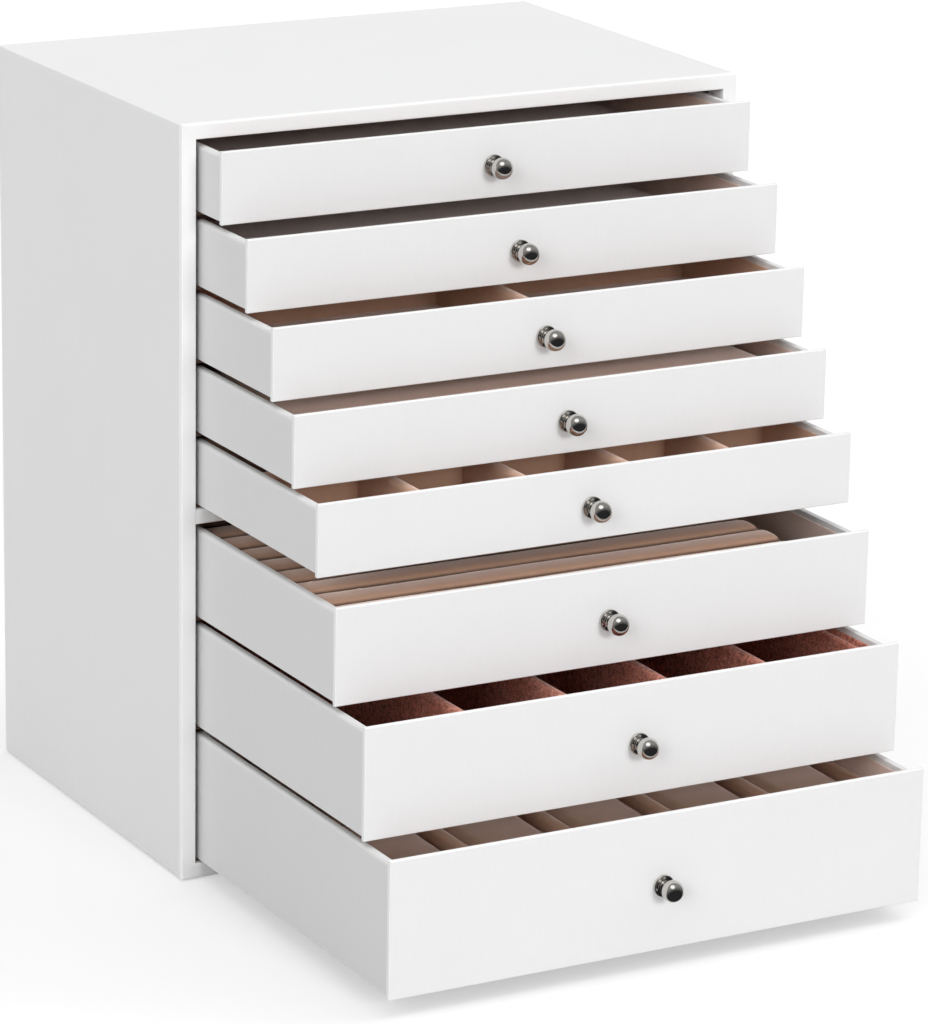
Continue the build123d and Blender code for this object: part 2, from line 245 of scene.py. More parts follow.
def placeGroup(tree, group, inputs):
    node = tree.nodes.new("ShaderNodeGroup")
    node.node_tree = group
    for key, value in inputs.items():
        fillInput(tree, node, key, value)
    return node.outputs


def addBump(tree, shader, height, strength, distance):
    bump = addNode(tree, "ShaderNodeBump", {"Height": height, "Strength": strength, "Distance": distance})
    tree.links.new(bump.outputs[0], shader.inputs["Normal"])


leatherette = {
    "panels": {"color": (0.78, 0.78, 0.782, 1), "fibres": 0.022, "clouds": 0.03, "relief": 0.10},
    # edging: a paler copy of the same white leatherette, a painted highlight for the bright front edges
    "edging": {"color": (0.87, 0.87, 0.87, 1), "fibres": 0.01, "clouds": 0.015, "relief": 0.06},
    # boxes: a darker copy of the same white leatherette for the drawer boxes, painted shade for their shaded
    # sides
    "boxes": {"color": (0.66, 0.66, 0.66, 1), "fibres": 0.02, "clouds": 0.02, "relief": 0.10},
    "depth": 0.12 * mm,
    "specular": 0.35,
    "ior": 1.45,
}


def makeLeatherette(name, look):
    material, tree, shader, place = startMaterial(name, "white_leatherette", {
        "Specular IOR Level": leatherette["specular"], "IOR": leatherette["ior"]})
    grain = placeGroup(tree, grainGroup, {"Vector": place, "Color": look["color"],
                                          "Fibres": look["fibres"], "Clouds": look["clouds"]})
    tree.links.new(grain["Color"], shader.inputs["Base Color"])
    tree.links.new(grain["Roughness"], shader.inputs["Roughness"])
    addBump(tree, shader, grain["Height"], look["relief"], leatherette["depth"])
    return material


velvet = {
    # tray: a paler copy of the velvet for the linings, painted light that stands in for the light the narrow
    # drawer slots lack
    "tray": {"color": (0.64, 0.49, 0.43, 1), "nap": (0.70, 0.56, 0.50, 1), "specks": 0.4, "patches": 0.5,
             "tufts": 2400, "sheen": 0.9},
    "roll": {"color": (0.54, 0.335, 0.235, 1), "nap": (0.61, 0.39, 0.28, 1), "specks": 0.3, "patches": 0.4,
             "tufts": 2400, "sheen": 0.9},
    "plush": {"color": (0.46, 0.165, 0.115, 1), "nap": (0.54, 0.24, 0.18, 1), "specks": 5.0, "patches": 0.6,
              "tufts": 1000, "sheen": 0.5},
    "depth": 0.4 * mm,
    "relief": 0.35,
    "specular": 0.1,
    "sheenRoughness": 0.4,
    "sheenTint": (1.0, 0.88, 0.84, 1),
    # painted shade between the ring rolls: how far below the roll tops it starts and ends, and its darkest
    # share
    "paintedShadeDepth": (1.5 * mm, 2.7 * mm),
    "paintedShadeLevel": 0.25,
}


def makeVelvet(name, look, paintedShadeBelow=None):
    # painted shade: the colour of rolls that stand close together is darkened down in the folds between
    # them, where shade falls
    material, tree, shader, place = startMaterial(name, "brown_velvet", {
        "Specular IOR Level": velvet["specular"], "Sheen Weight": look["sheen"],
        "Sheen Roughness": velvet["sheenRoughness"], "Sheen Tint": velvet["sheenTint"]})
    pile = placeGroup(tree, pileGroup, {"Vector": place, "Color": look["color"], "Nap Color": look["nap"],
                                        "Specks": look["specks"], "Patches": look["patches"],
                                        "Tufts": look["tufts"]})
    color = pile["Color"]
    if paintedShadeBelow is not None:
        height = addNode(tree, "ShaderNodeSeparateXYZ", {0: place}).outputs["Z"]
        depth = velvet["paintedShadeDepth"]
        share = mapped(tree, height, paintedShadeBelow - depth[1], paintedShadeBelow - depth[0], velvet["paintedShadeLevel"], 1.0)
        color = toned(tree, color, share)
    tree.links.new(color, shader.inputs["Base Color"])
    tree.links.new(pile["Roughness"], shader.inputs["Roughness"])
    addBump(tree, shader, pile["Height"], velvet["relief"], velvet["depth"])
    return material


nickel = {"color": (0.62, 0.60, 0.57, 1), "low": 0.03, "high": 0.10}
zinc = {"color": (0.62, 0.62, 0.60, 1), "low": 0.25, "high": 0.42}
hairlineRelief = {"strength": 0.05, "depth": 0.04 * mm}


def makeMetal(name, slot, look):
    material, tree, shader, place = startMaterial(name, slot, {"Base Color": look["color"], "Metallic": 1.0})
    lines = placeGroup(tree, hairlineGroup, {"Vector": place, "Low": look["low"], "High": look["high"]})
    tree.links.new(lines["Roughness"], shader.inputs["Roughness"])
    addBump(tree, shader, lines["Height"], hairlineRelief["strength"], hairlineRelief["depth"])
    return material


boardPaper = {"color": (0.14, 0.09, 0.07, 1), "nap": (0.18, 0.12, 0.095, 1), "specks": 0.25, "relief": 0.15}
baseFelt = {"color": (0.05, 0.05, 0.05, 1), "nap": (0.08, 0.08, 0.08, 1), "specks": 0.8, "relief": 0.6}
mattPile = {"patches": 0.6, "tufts": 2400, "depth": 0.2 * mm, "specular": 0.25}


def makeMatt(name, slot, look):
    material, tree, shader, place = startMaterial(name, slot, {"Specular IOR Level": mattPile["specular"]})
    pile = placeGroup(tree, pileGroup, {"Vector": place, "Color": look["color"], "Nap Color": look["nap"],
                                        "Specks": look["specks"], "Patches": mattPile["patches"],
                                        "Tufts": mattPile["tufts"]})
    tree.links.new(pile["Color"], shader.inputs["Base Color"])
    tree.links.new(pile["Roughness"], shader.inputs["Roughness"])
    addBump(tree, shader, pile["Height"], look["relief"], mattPile["depth"])
    return material


panelWrap = makeLeatherette("leatherette_panels", leatherette["panels"])
edgeWrapPaintedHighlight = makeLeatherette("leatherette_edging_painted_highlight", leatherette["edging"])
boxWrapPaintedShade = makeLeatherette("leatherette_boxes_painted_shade", leatherette["boxes"])
trayVelvetPaintedLight = makeVelvet("velvet_trays_painted_light", velvet["tray"])
rollVelvet = makeVelvet("velvet_rolls", velvet["roll"])
# the ring rolls' velvet, with painted shade in the folds below the roll tops
ringVelvetPaintedShade = makeVelvet("velvet_ring_rolls_painted_shade", velvet["roll"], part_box("drawer_6_ring_rolls")[1][2])
deepPlush = makeVelvet("velvet_plush", velvet["plush"])
polishedNickel = makeMetal("polished_nickel", "polished_metal", nickel)
zincPlate = makeMetal("zinc_plate", "zinc_screw", zinc)
brownPaper = makeMatt("brown_paper", "brown_board", boardPaper)
darkFelt = makeMatt("dark_felt", "dark_felt", baseFelt)
print("materials made")


# Meshes: the parts of a piece are joined, closed at their seams and turned outwards
mergeDistance = 1e-7


def makePiece(name, parts, material, body, replaced=(), sharp=60):
    points = []
    faces = []
    start = 0
    for part, partFaces in parts:
        points.append(part)
        faces += [tuple(int(i) + start for i in face) for face in partFaces]
        start += len(part)
    mesh = bpy.data.meshes.new(name)
    mesh.from_pydata(np.concatenate(points).tolist(), [], faces)
    shell = bmesh.new()
    shell.from_mesh(mesh)
    bmesh.ops.remove_doubles(shell, verts=shell.verts, dist=mergeDistance)
    bmesh.ops.dissolve_degenerate(shell, edges=shell.edges, dist=mergeDistance)
    bmesh.ops.recalc_face_normals(shell, faces=shell.faces)
    shell.to_mesh(mesh)
    shell.free()
    mesh.shade_smooth()
    mesh.set_sharp_from_angle(angle=math.radians(sharp))
    mesh.materials.append(material)
    piece = bpy.data.objects.new(name, mesh)
    bpy.context.scene.collection.objects.link(piece)
    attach(piece, body)
    if replaced:
        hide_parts(*replaced)
    return piece


def ringFaces(rings, count):
    # quads between neighbouring closed rings of points
    i, j = np.meshgrid(np.arange(rings - 1), np.arange(count), indexing="ij")
    nextJ = (j + 1) % count
    corners = (i * count + j, i * count + nextJ, (i + 1) * count + nextJ, (i + 1) * count + j)
    return np.stack(corners, axis=-1).reshape(-1, 4)


def closedRings(rings):
    # rings of points, shape (rings, count, 3), skinned with quads and closed by a face at each end
    total, count = rings.shape[:2]
    faces = ringFaces(total, count).tolist()
    faces.append(list(range(count))[::-1])
    faces.append(list(range((total - 1) * count, total * count)))
    return rings.reshape(-1, 3), faces


def corner(node, which):
    return np.array(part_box(node)[which], float)


def span(node):
    return corner(node, 0), corner(node, 1)


# Turned knob: a half profile of (distance out of the front, radius) turned about the knob's axis
knob = {
    "flangeRadius": 6.0 * mm,
    "flangeThickness": 1.8 * mm,
    "footEase": 0.1 * mm,
    "lip": 0.7 * mm,
    "lipWidth": 2.0 * mm,
    "dish": 0.35 * mm,
    "neckFoot": 1.0 * mm,
    "neckFillet": (0.9 * mm, 0.35 * mm, 0.1 * mm, 0.0),
    "neckRadius": 3.1 * mm,
    "neckWaist": 2.7 * mm,
    "ballRadius": 5.9 * mm,
    "ballStandoff": 9.9 * mm,
    "segments": 64,
}


def arc(centre, radius, fromDegrees, toDegrees, count):
    angle = np.radians(np.linspace(fromDegrees, toDegrees, count))
    return np.stack([centre[0] + radius * np.sin(angle), centre[1] + radius * np.cos(angle)], axis=1)


def knobProfile():
    # out of the front along the first column, radius in the second: foot, flange lip, dish, a neck
    # that draws in by half a sine wave, then the ball as one arc
    k = knob
    ease = k["footEase"]
    foot = np.array([[0.0, 0.0], [0.0, k["flangeRadius"] - ease], [ease, k["flangeRadius"]]])
    lip = arc((k["flangeThickness"] - k["lip"], k["flangeRadius"] - k["lip"]), k["lip"], 0, 90, 10)
    neckStart = k["flangeThickness"] - k["dish"]
    dish = np.array([[neckStart, k["flangeRadius"] - k["lipWidth"]],
                     [neckStart, k["neckRadius"] + k["neckFoot"]]])
    joinAngle = 180 - math.degrees(math.asin(k["neckRadius"] / k["ballRadius"]))
    neckEnd = k["ballStandoff"] + k["ballRadius"] * math.cos(math.radians(joinAngle))
    t = np.linspace(0, 1, 16)
    waist = k["neckRadius"] - (k["neckRadius"] - k["neckWaist"]) * np.sin(np.pi * t)
    waist[:4] += k["neckFillet"]
    neck = np.stack([neckStart + (neckEnd - neckStart) * t, waist], axis=1)
    angle = np.radians(np.linspace(joinAngle, 0, 40))
    ball = np.stack([k["ballStandoff"] + k["ballRadius"] * np.cos(angle),
                     k["ballRadius"] * np.sin(angle)], axis=1)
    return np.concatenate([foot, lip, dish, neck, ball])


def turnedKnob(number):
    # a point of the profile at angle a: (radius cos a, -distance, radius sin a) from the knob's foot
    low, high = span(f"drawer_{number}_knob")
    profile = knobProfile()
    a = np.linspace(0, 2 * np.pi, knob["segments"], endpoint=False)
    x = (low[0] + high[0]) / 2 + profile[:, 1:] * np.cos(a)
    z = (low[2] + high[2]) / 2 + profile[:, 1:] * np.sin(a)
    y = np.broadcast_to(high[1] - profile[:, :1], x.shape)
    points = np.stack([x, y, z], axis=-1).reshape(-1, 3)
    faces = ringFaces(len(profile), knob["segments"])
    makePiece(f"knob_{number}", [(points, faces)], polishedNickel, f"drawer_{number}",
              replaced=[f"drawer_{number}_knob"])


for number in range(1, drawerCount + 1):
    turnedKnob(number)
print("knobs turned")


# Soft pieces: shapes worked out as rings of points
def roundedLoop(halfX, halfY, radius, perCorner=5, perSide=12):
    # four quarter circles joined by straight sides in equal steps, counterclockwise
    turn = np.linspace(0, np.pi / 2, perCorner)
    step = np.linspace(0, 1, perSide + 2)[1:-1, None]
    half = np.array([halfX, halfY])
    arcs = []
    for quarter, sign in enumerate(((1, 1), (-1, 1), (-1, -1), (1, -1))):
        angle = turn + quarter * np.pi / 2
        centre = np.array(sign) * (half - radius)
        arcs.append(centre + radius * np.stack([np.cos(angle), np.sin(angle)], axis=1))
    loop = []
    for quarter in range(4):
        start, end = arcs[quarter][-1], arcs[(quarter + 1) % 4][0]
        loop += [arcs[quarter], start + step * (end - start)]
    return np.concatenate(loop)


def stackedLoops(centre, half, profile, radius):
    # one rounded rectangle for each (inset, height) of the profile
    rings = []
    for inset, height in profile:
        loop = roundedLoop(half[0] - inset, half[1] - inset, radius)
        rings.append(np.column_stack([loop + centre[:2], np.full(len(loop), height)]))
    return np.array(rings)


def arcSteps(centre, radius, fromDegrees, toDegrees, count):
    # points of an arc in (inset, height), angles measured from the +inset direction
    angle = np.radians(np.linspace(fromDegrees, toDegrees, count))
    return np.stack([centre[0] + radius * np.cos(angle), centre[1] + radius * np.sin(angle)], axis=1)


# Tray lining: velvet folded over at the top of the wall, down it, round a small cove and over a
# padded floor that rises a little away from the walls; its edge is drawn up past the CAD lining
trayLining = {"thickness": 1.0 * mm, "padding": 4.0 * mm, "cove": 1.4 * mm, "cornerRadius": 1.8 * mm,
              "floorRise": 0.35 * mm, "riseSteps": (2, 5, 10, 18, 30), "riseLength": 6 * mm,
              "wallPlay": 0.02 * mm, "drawnUp": 3.0 * mm, "edgeReach": 2 * mm, "coveReach": 1.6}


def makeTrayLining(number):
    look = trayLining
    low, high = span(f"drawer_{number}_lining")
    centre, half = (low + high) / 2, (high - low) / 2
    wall, cove, play = look["thickness"], look["cove"], look["wallPlay"]
    fold = (wall - play) / 2
    floor, edge = low[2] + look["padding"], high[2] + look["drawnUp"]
    outside = np.array([(play, low[2] + play), (play, edge - fold)])
    topFold = arcSteps((play + fold, edge - fold), fold, 180, 0, 8)[1:]
    inside = np.array([(wall, edge - look["edgeReach"]), (wall, (edge + floor) / 2),
                       (wall, floor + look["coveReach"] * cove)])
    bend = arcSteps((wall + cove, floor + cove), cove, 180, 270, 7)
    # the floor rises towards its full height by 1 - exp(-way / length)
    away = np.array(look["riseSteps"]) * mm
    risen = floor + look["floorRise"] * (1 - np.exp(-away / look["riseLength"]))
    rise = np.stack([wall + cove + away, risen], axis=1)
    profile = np.concatenate([outside, topFold, inside, bend, rise])
    rings = stackedLoops(centre, half, profile, look["cornerRadius"])
    cover = {3: rollVelvet, 5: rollVelvet, 7: deepPlush}.get(number, trayVelvetPaintedLight)
    makePiece(f"tray_lining_{number}", [closedRings(rings)], cover, f"drawer_{number}",
              replaced=[f"drawer_{number}_lining"])


for number in range(1, drawerCount + 1):
    makeTrayLining(number)
print("tray linings made")


# A padded bar: a section with upright sides and a round top, carried along a straight run; towards a
# rounded end it draws in on a quarter circle. The top is a superellipse: cosine and sine of the angle,
# each to the power 2 / fullness, so 2 is round and more is squarer. Along the run the bar leans and
# swells by two sines, more towards the top
barForm = {"footTuck": 0.25 * mm, "sideSteps": (0.0, 0.04, 0.3, 0.6, 0.9), "topPoints": 11, "endPoints": 8,
           "deepestInset": 0.985, "waveRun": 45 * mm, "leanPitch": 1.1, "leanPhase": 1.7, "leanShare": 0.4,
           "swellPitch": 1.9}


def paddedBar(low, high, axis, flatTop, endRadii=(0.0, 0.0), wave=0.12 * mm, phase=0.0, steps=36,
              fullness=2.0):
    form = barForm
    low, high = np.array(low, float), np.array(high, float)
    along = 0 if axis == "x" else 1
    across = 1 - along
    width, height = high[across] - low[across], high[2] - low[2]
    radius = (width - flatTop) / 2
    # section: distance from the middle line, height above the foot
    rise = np.array(form["sideSteps"]) * (height - radius)
    leftSide = np.stack([np.full(len(rise), -width / 2), rise], axis=1)
    leftSide[0, 0] += form["footTuck"]
    angle = np.radians(np.linspace(0, 90, form["topPoints"]))
    leftTop = np.stack([-flatTop / 2 - radius * np.cos(angle) ** (2 / fullness),
                        height - radius + radius * np.sin(angle) ** (2 / fullness)], axis=1)
    leftHalf = np.concatenate([leftSide, leftTop])
    rightHalf = leftHalf[::-1] * np.array([-1, 1])
    section = np.concatenate([leftHalf, rightHalf])
    # stations along the run, closer together in the rounded ends
    start, end = low[along], high[along]
    startRadius, endRadius = endRadii
    ease = 1 - np.cos(np.linspace(0, np.pi / 2, form["endPoints"]))
    stations = np.concatenate([start + startRadius * ease if startRadius else [start],
                               np.linspace(start + startRadius, end - endRadius, steps)[1:-1],
                               end - endRadius * ease[::-1] if endRadius else [end]])
    inset = np.zeros(len(stations))
    for radiusHere, distance in ((startRadius, stations - start), (endRadius, end - stations)):
        if radiusHere:
            into = np.clip(radiusHere - distance, 0, radiusHere * form["deepestInset"])
            inset += radiusHere - np.sqrt(radiusHere ** 2 - into ** 2)
    run = (stations - start) / form["waveRun"]
    upShare = (section[:, 1] / height)[None, :]
    lean = wave * np.sin(run * form["leanPitch"] + phase * form["leanPhase"])[:, None] * upShare
    swell = wave * np.sin(run * form["swellPitch"] + phase)[:, None] * upShare - wave
    pinch = (width / 2 - inset[:, None]) / (width / 2)
    offset = section[None, :, 0] * pinch * (1 - wave / width) + lean * form["leanShare"]
    lift = section[None, :, 1] * (1 - inset[:, None] / height) + swell * (section[:, 1] > 0)
    points = np.zeros((len(stations), len(section), 3))
    points[..., along] = stations[:, None]
    points[..., across] = (low[across] + high[across]) / 2 + offset
    points[..., 2] = low[2] + lift
    return closedRings(points)


# Dividers and rims. Long dividers run from front to back, cross pieces stand between them. The phases
# given to the bars only keep their waves from repeating
dividers = {
    3: {"columns": 2, "rows": 2, "belowFront": 4.8 * mm, "rim": 0.0, "velvet": rollVelvet},
    5: {"columns": 5, "rows": 3, "belowFront": 4.8 * mm, "rim": 0.0, "velvet": rollVelvet},
    7: {"columns": 5, "rows": 1, "belowFront": 8.5 * mm, "rim": 4.0 * mm, "velvet": deepPlush},
    8: {"columns": 5, "rows": 2, "belowFront": 18.0 * mm, "rim": 4.0 * mm, "velvet": rollVelvet},
    "thickness": 7.0 * mm,
    "flatTop": 0.6 * mm,
    "rimFlatTop": 0.4 * mm,
    "fill": 0.8,
}


def traySpace(number):
    # the clear room inside the lining: low and high corners, the high one at the front's top
    low, high = span(f"drawer_{number}_lining")
    wall = trayLining["thickness"]
    low = low + np.array([wall, wall, trayLining["padding"]])
    high = high - np.array([wall, wall, 0])
    high[2] = corner(f"drawer_{number}_front", 1)[2]
    return low, high


def cellSizes(number):
    look = dividers[number]
    low, high = traySpace(number)
    counts = np.array([look["columns"], look["rows"]])
    room = (high - low)[:2] - 2 * look["rim"]
    return low[:2] + look["rim"], (room - (counts - 1) * dividers["thickness"]) / counts


def makeDividers(number):
    look = dividers[number]
    low, high = traySpace(number)
    thick = dividers["thickness"]
    first, cell = cellSizes(number)
    last = high[:2] - look["rim"]
    z0, z1 = low[2], high[2] - look["belowFront"]
    parts = []
    for column in range(look["columns"]):
        x0 = first[0] + column * (cell[0] + thick)
        if column:
            parts.append(paddedBar((x0 - thick, first[1], z0), (x0, last[1], z1), "y", dividers["flatTop"],
                                   phase=column * 1.3 + number))
        for row in range(1, look["rows"]):
            y0 = first[1] + row * (cell[1] + thick) - thick
            parts.append(paddedBar((x0, y0, z0), (x0 + cell[0], y0 + thick, z1), "x", dividers["flatTop"],
                                   phase=column * 0.7 + row * 2.1 + number, steps=14))
    makePiece(f"dividers_{number}", parts, look["velvet"], f"drawer_{number}",
              replaced=[f"drawer_{number}_dividers"])
    if look["rim"]:
        rim, flat = look["rim"], dividers["rimFlatTop"]
        inLeft, inRight, inFront, inBack = low[0] + rim, high[0] - rim, low[1] + rim, high[1] - rim
        parts = [paddedBar((low[0], low[1], z0), (inLeft, high[1], z1), "y", flat, phase=1),
                 paddedBar((inRight, low[1], z0), (high[0], high[1], z1), "y", flat, phase=2),
                 paddedBar((inLeft, low[1], z0), (inRight, inFront, z1), "x", flat, phase=3),
                 paddedBar((inLeft, inBack, z0), (inRight, high[1], z1), "x", flat, phase=4)]
        makePiece(f"tray_rim_{number}", parts, look["velvet"], f"drawer_{number}",
                  replaced=[f"drawer_{number}_dividers"])


for number in (3, 5, 7, 8):
    makeDividers(number)
print("dividers and rims made")


# Ring rolls: ten foam rolls side by side on a foam bed, with rounded ends at the open compartment
ringRolls = {"count": 10, "gap": 0.5 * mm, "flatTop": 0.9 * mm, "fullness": 3.2, "leftEnd": 2.0 * mm,
             "rightEnd": 6.5 * mm, "wave": 0.16 * mm, "phaseStep": 2.3, "steps": 60, "bedCorner": 2.0 * mm,
             "bedPlay": 0.1 * mm, "bedEase": 0.9 * mm, "bedTopEase": 0.6 * mm, "fill": 0.9}


def makeRingRolls():
    look = ringRolls
    low, high = span("drawer_6_ring_rolls")
    bedLow, bedHigh = span("drawer_6_roll_base")
    pitch = (bedHigh[1] - bedLow[1]) / look["count"]
    for index in range(look["count"]):
        y0 = bedLow[1] + index * pitch + look["gap"] / 2
        bar = paddedBar((low[0], y0, low[2]), (high[0], y0 + pitch - look["gap"], high[2]), "x",
                        look["flatTop"], (look["leftEnd"], look["rightEnd"]), look["wave"],
                        index * look["phaseStep"], look["steps"], look["fullness"])
        makePiece(f"ring_roll_{index + 1}", [bar], ringVelvetPaintedShade, "drawer_6",
                  replaced=["drawer_6_ring_rolls"])
    centre, half = (bedLow + bedHigh) / 2, (bedHigh - bedLow) / 2
    play, ease, topEase = look["bedPlay"], look["bedEase"], look["bedTopEase"]
    profile = np.array([(play + ease, bedLow[2]), (play, bedLow[2] + ease),
                        (play, bedHigh[2] - topEase), (play + topEase, bedHigh[2])])
    rings = stackedLoops(centre, half, profile, look["bedCorner"])
    makePiece("roll_bed", [closedRings(rings)], rollVelvet, "drawer_6",
              replaced=["drawer_6_roll_base"])


makeRingRolls()
print("ring rolls made")


# Cushions: loops of a plan whose sides pull in between its corners; the sides stand up to a round
# shoulder, and the top is a crown that falls off with the square of the way to each side
cushionForm = {"leastCorner": 0.6 * mm, "shoulderEnd": 100, "rings": 18, "widestRing": 0.95,
               "smallestRing": 0.04}
clothRun = {"quality": 5, "frames": 20}


def cushionShape(centre, half, base, height, look):
    form = cushionForm
    shoulder, crown, inward = look["shoulder"], look["crown"], look["inward"]
    sideHeight = height - crown
    lower = arcSteps((look["foot"], look["foot"]), look["foot"], 270, 180, 4)
    upper = arcSteps((shoulder, sideHeight - shoulder), shoulder, 180, form["shoulderEnd"], 8)
    profile = np.concatenate([lower, upper])
    loops = []
    for inset, level in profile:
        rounding = max(look["corner"] - inset, form["leastCorner"])
        loop = roundedLoop(half[0] - inset, half[1] - inset, rounding, 6, 16)
        loops.append(np.column_stack([loop, np.full(len(loop), level)]))
    rim = loops[-1]
    for share in np.linspace(form["widestRing"], form["smallestRing"], form["rings"]):
        ring = rim.copy()
        ring[:, :2] *= share
        u, v = ring[:, 0] / half[0], ring[:, 1] / half[1]
        ring[:, 2] = rim[0, 2] + (height - rim[0, 2]) * (1 - u ** 2) * (1 - v ** 2)
        loops.append(ring)
    rings = np.array(loops)
    u, v = rings[..., 0] / half[0], rings[..., 1] / half[1]
    rings[..., 0] *= 1 - inward / half[0] * (1 - v ** 2)
    rings[..., 1] *= 1 - inward / half[1] * (1 - u ** 2)
    return closedRings(rings + np.array([centre[0], centre[1], base]))


def inflated(points, faces, look, low, high):
    # cloth under pressure without gravity; each point moves by the cap at most and stays in the room
    mesh = bpy.data.meshes.new("blank")
    mesh.from_pydata(points.tolist(), [], faces)
    pad = bpy.data.objects.new("blank", mesh)
    scene = bpy.context.scene
    scene.collection.objects.link(pad)
    remesh = pad.modifiers.new("remesh", "REMESH")
    remesh.mode, remesh.voxel_size = "VOXEL", look["voxel"]
    shell = bpy.data.meshes.new_from_object(pad.evaluated_get(bpy.context.evaluated_depsgraph_get()))
    pad.modifiers.clear()
    pad.data = shell
    start = np.empty(len(shell.vertices) * 3)
    shell.vertices.foreach_get("co", start)
    start = start.reshape(-1, 3)
    cloth = pad.modifiers.new("cloth", "CLOTH")
    cloth.settings.quality = clothRun["quality"]
    cloth.settings.use_pressure = True
    cloth.settings.uniform_pressure_force = look["pressure"]
    cloth.settings.effector_weights.gravity = 0
    cloth.settings.shrink_min = -look["spare"]
    for step in range(1, clothRun["frames"] + 1):
        scene.frame_set(step)
    swollen = pad.evaluated_get(bpy.context.evaluated_depsgraph_get()).to_mesh()
    moved = np.empty(len(swollen.vertices) * 3)
    swollen.vertices.foreach_get("co", moved)
    move = moved.reshape(-1, 3) - start
    length = np.linalg.norm(move, axis=1, keepdims=True)
    move *= np.minimum(1, look["cap"] / np.maximum(length, 1e-9))
    shaped = np.clip(start + move, low, high)
    quads = np.empty(len(shell.loops), int)
    shell.loops.foreach_get("vertex_index", quads)
    sizes = np.empty(len(shell.polygons), int)
    shell.polygons.foreach_get("loop_total", sizes)
    bpy.data.objects.remove(pad)
    scene.frame_set(1)
    return shaped, np.split(quads, np.cumsum(sizes)[:-1])


trayCushion = {"crown": 4.0 * mm, "shoulder": 9.0 * mm, "inward": 1.5 * mm, "corner": 6.0 * mm,
               "foot": 1.2 * mm, "voxel": 3.5 * mm, "pressure": 4.0, "spare": 0.02, "cap": 1.2 * mm,
               "room": 0.3 * mm, "fill": 0.7}
watchPillow = {"belowDivider": 2.6 * mm, "gap": 1.2 * mm, "crown": 1.5 * mm, "shoulder": 4.0 * mm,
               "inward": 1.0 * mm, "corner": 4.0 * mm, "foot": 1.0 * mm, "voxel": 2.0 * mm,
               "pressure": 4.0, "spare": 0.02, "cap": 0.7 * mm, "room": 0.5 * mm, "headroom": 0.4 * mm,
               "swelling": 0.3 * mm, "fill": 0.6}


def makeTrayCushion():
    look = trayCushion
    low, high = span("drawer_4_cushion")
    centre, half = (low + high) / 2, (high - low) / 2 - look["room"]
    points, faces = cushionShape(centre, half, low[2], high[2] - low[2], look)
    points, faces = inflated(points, faces, look, low, high + np.array([0, 0, look["room"]]))
    makePiece("tray_cushion", [(points, faces)], rollVelvet, "drawer_4",
              replaced=["drawer_4_cushion"])


def makeWatchPillows():
    # one pillow is shaped and then set into every compartment, every second one turned by half a turn
    look, grid = watchPillow, dividers[8]
    first, cell = cellSizes(8)
    low, high = traySpace(8)
    half = cell / 2 - look["gap"]
    height = high[2] - grid["belowFront"] - look["belowDivider"] - low[2]
    room = np.array([half[0] + look["room"], half[1] + look["room"], height + look["headroom"]])
    points, faces = cushionShape((0, 0), half, 0.0, height - look["swelling"], look)
    points, faces = inflated(points, faces, look, room * np.array([-1, -1, 0]), room)
    number = 0
    for column in range(grid["columns"]):
        for row in range(grid["rows"]):
            number += 1
            middle = first + np.array([column, row]) * (cell + dividers["thickness"]) + cell / 2
            turned = points * np.array([-1, -1, 1]) if number % 2 else points
            placed = turned + np.array([middle[0], middle[1], low[2]])
            makePiece(f"watch_pillow_{number}", [(placed, faces)], rollVelvet, "drawer_8",
                      replaced=["drawer_8_pillows"])


makeTrayCushion()
makeWatchPillows()
print("cushion and pillows made")


# Edging of the case: strips folded round the front edges, mitred at the corners, and one wrap that
# runs up the left side, over the top and down the right side behind them
edging = {"proud": 0.12 * mm, "buried": 0.3 * mm, "outerLeg": 3.6 * mm, "innerLeg": 3.0 * mm,
          "fold": 0.35 * mm, "foldBulge": 0.3, "legTop": 1.0 * mm, "faceTop": 1.2 * mm,
          "mitreGap": 0.03 * mm, "seam": 0.35 * mm, "cornerFold": 0.7 * mm, "cornerRun": 3 * mm,
          "wrapEnd": 0.6 * mm, "wrapLip": 0.12 * mm, "wrapStep": 1.0 * mm}


def frontSection(panel):
    # (way inwards from the outer face, way back from the front) round the front edge of one panel
    look = edging
    out, fold, sunk = look["proud"], look["fold"], look["buried"]
    bulge, far, leg, face = look["foldBulge"] * fold, panel + out, look["legTop"], look["faceTop"]
    firstFold = np.array([(-out, fold - out), (bulge - out, bulge - out), (fold - out, -out)])
    lastFold = np.array([(far - fold, -out), (far - bulge, bulge - out), (far, fold - out)])
    outer = np.concatenate([[(-out, look["outerLeg"])], [(-out, leg)], firstFold,
                            [(face, -out)], [(panel - face, -out)], lastFold,
                            [(far, leg)], [(far, look["innerLeg"])]])
    inner = np.array([(panel - sunk, look["innerLeg"]), (panel - sunk, sunk), (sunk, sunk),
                      (sunk, look["outerLeg"])])
    return np.concatenate([outer, inner])


def stripStations():
    # shares of the half length along a strip, with one more station close to each end
    return np.concatenate([[-1.0], np.linspace(-0.995, 0.995, 9), [1.0]])


